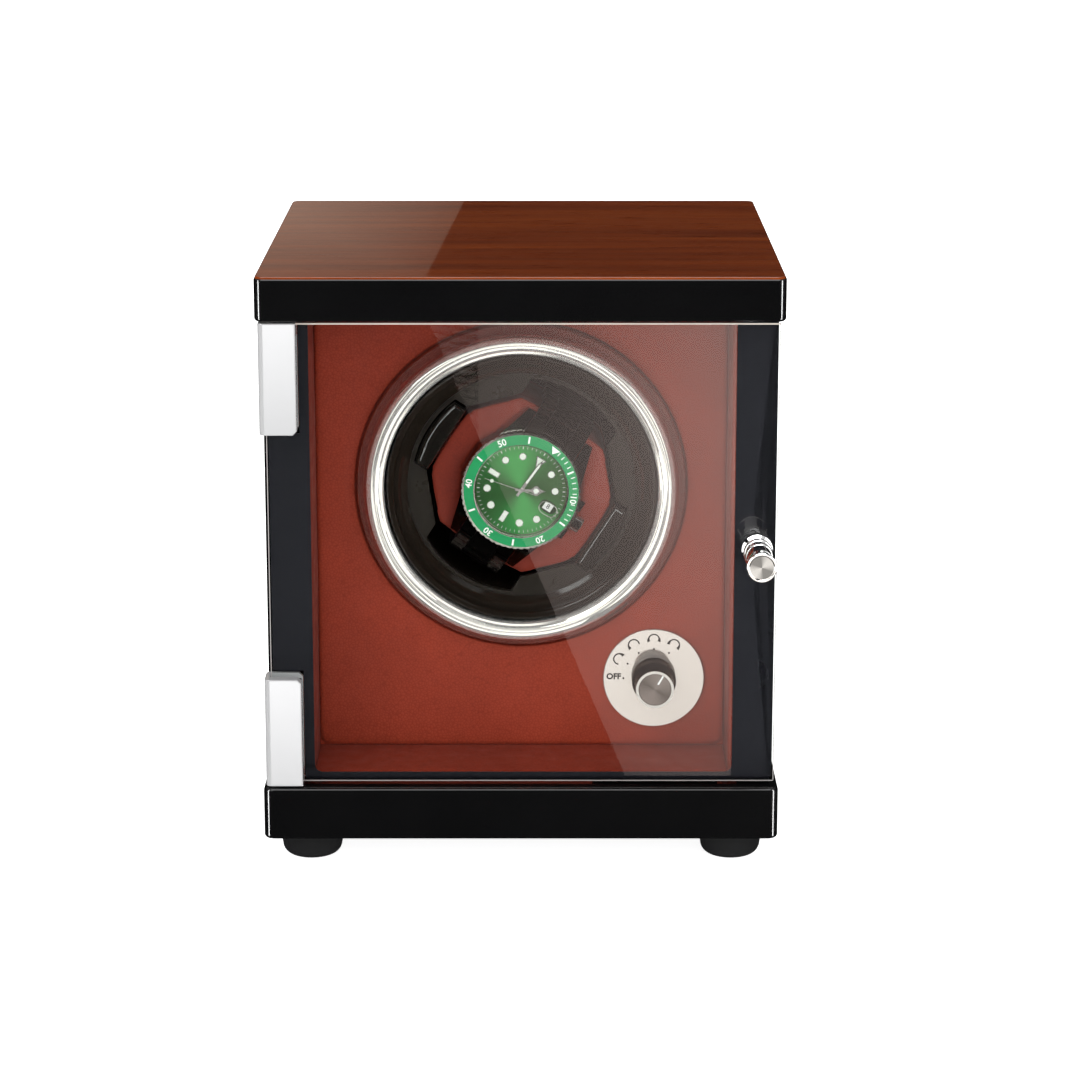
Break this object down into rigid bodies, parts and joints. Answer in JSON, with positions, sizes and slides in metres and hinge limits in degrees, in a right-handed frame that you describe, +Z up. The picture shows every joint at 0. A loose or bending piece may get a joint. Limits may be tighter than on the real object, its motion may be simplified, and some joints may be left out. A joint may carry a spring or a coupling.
{
  "type": "watch winder box",
  "caption": "Lacquered display box with a padded leather lining, a glass door on pivot clamps, and a motor-driven drum that turns a watch on a pillow.",
  "frame": {"origin": "on the plane that the feet stand on, under the middle of the object's whole width and depth (door pull included)", "axes": "+Z up, +X to the right as seen from the front, -Y towards the viewer (the glass door's side)"},
  "size_m": [0.175, 0.201, 0.204],
  "materials": {
    "lacquer": "high-gloss black lacquer on fibreboard",
    "veneer": "high-gloss lacquered brown veneer, grain left to right",
    "back_board": "satin black painted fibreboard",
    "raw_wood": "unfinished fibreboard and pine",
    "screw_steel": "zinc-plated",
    "nylon": "natural nylon",
    "foot_rubber": "semi-matt black",
    "liner_leather": "padded red-brown leatherette",
    "face_leather": "padded red-brown leatherette",
    "ring_chrome": "polished",
    "bearing_steel": "ground",
    "bush_brass": "turned",
    "magnet_nickel": "nickel-plated magnet",
    "strike_steel": "plain steel disc",
    "plate_aluminium": "mill finish",
    "gearbox_plastic": "black moulded",
    "motor_steel": "plated steel",
    "belt_rubber": "matt black",
    "selector_plate": "pale satin metal with printed marks",
    "switch_body": "black moulded",
    "board_green": "green solder mask",
    "lead_black": "black insulated leads",
    "door_glass": "clear polished float glass",
    "mask_black": "black print behind glass",
    "clamp_satin": "satin plated",
    "pull_chrome": "polished",
    "drum_gloss": "glossy black moulded",
    "seat_grey": "dark grey moulded",
    "pulley_plastic": "black moulded",
    "knob_chrome": "dark polished metal",
    "knob_cap": "spun dark metal with a white line",
    "cushion_leather": "stuffed red-brown leatherette",
    "cap_gloss": "glossy black moulded",
    "core_plastic": "black moulded",
    "watch_steel": "brushed and polished",
    "insert_green": "glossy deep green",
    "watch_glass": "clear polished",
    "dial_green": "green sunburst",
    "hand_steel": "polished with pale lume",
    "bracelet_dark": "dark plated links"
  },
  "bodies": {
    "cabinet": {"top_slab": "lacquer", "top_veneer": "veneer", "base_slab": "lacquer", "side_left": "lacquer", "side_right": "lacquer", "back_panel": "back_board", "glue_blocks": "raw_wood", "pan_screws": "screw_steel", "feet": "foot_rubber", "foot_screws": "screw_steel", "liner_sides": "liner_leather", "liner_ends": "liner_leather", "face_pad": "face_leather", "face_board": "raw_wood", "bezel_ring": "ring_chrome", "bearing_outer": "bearing_steel", "hinge_bushes": "bush_brass", "catch_magnet": "magnet_nickel", "drive_plate": "plate_aluminium", "plate_posts": "bush_brass", "gearbox": "gearbox_plastic", "motor_can": "motor_steel", "drive_belt": "belt_rubber", "selector_plate": "selector_plate", "selector_switch": "switch_body", "panel_nuts": "bearing_steel", "dc_jack": "switch_body", "control_board": "board_green", "board_posts": "nylon", "wiring": "lead_black"},
    "door": {"door_glass": "door_glass", "door_mask": "mask_black", "hinge_clamp_upper": "clamp_satin", "hinge_clamp_lower": "clamp_satin", "clamp_pads": "belt_rubber", "clamp_screws": "screw_steel", "door_pull": "pull_chrome", "pull_screw": "screw_steel", "catch_strike": "strike_steel"},
    "drum": {"drum_cup": "drum_gloss", "pillow_seat": "seat_grey", "drum_shaft": "motor_steel", "hub_screws": "screw_steel", "drum_pulley": "pulley_plastic", "bearing_inner": "bearing_steel"},
    "motor_rotor": {"motor_shaft": "motor_steel", "motor_pulley": "pulley_plastic"},
    "selector": {"selector_shaft": "motor_steel", "selector_knob": "knob_chrome", "knob_cap": "knob_cap"},
    "pillow": {"pillow_cushion": "cushion_leather", "pillow_end_caps": "cap_gloss", "pillow_core": "core_plastic", "watch_case": "watch_steel", "watch_bezel": "watch_steel", "watch_insert": "insert_green", "watch_crystal": "watch_glass", "watch_dial": "dial_green", "watch_hands": "hand_steel", "watch_bracelet": "bracelet_dark"}
  },
  "joints": [
    {"name": "door_swing", "type": "hinge", "parent": "cabinet", "child": "door", "pos_m": [-0.0825, -0.072, 0.10875], "axis": [0, 0, -1], "range_deg": [0, 105]},
    {"name": "drum_spin", "type": "hinge", "parent": "cabinet", "child": "drum", "pos_m": [0, 0.0325, 0.124], "axis": [0, 1, 0], "continuous": true},
    {"name": "motor_spin", "type": "hinge", "parent": "cabinet", "child": "motor_rotor", "pos_m": [-0.0325, 0.0325, 0.0915], "axis": [0, 1, 0], "continuous": true},
    {"name": "selector_turn", "type": "hinge", "parent": "cabinet", "child": "selector", "pos_m": [0.0463, -0.0345, 0.0549], "axis": [0, -1, 0], "range_deg": [0, 120]},
    {"name": "pillow_pull", "type": "slide", "parent": "drum", "child": "pillow", "axis": [0, -1, 0], "range_m": [0, 0.018]}
  ],
  "couplings": [
    {"joint": "motor_spin", "follows": "drum_spin", "ratio": 4}
  ]
}
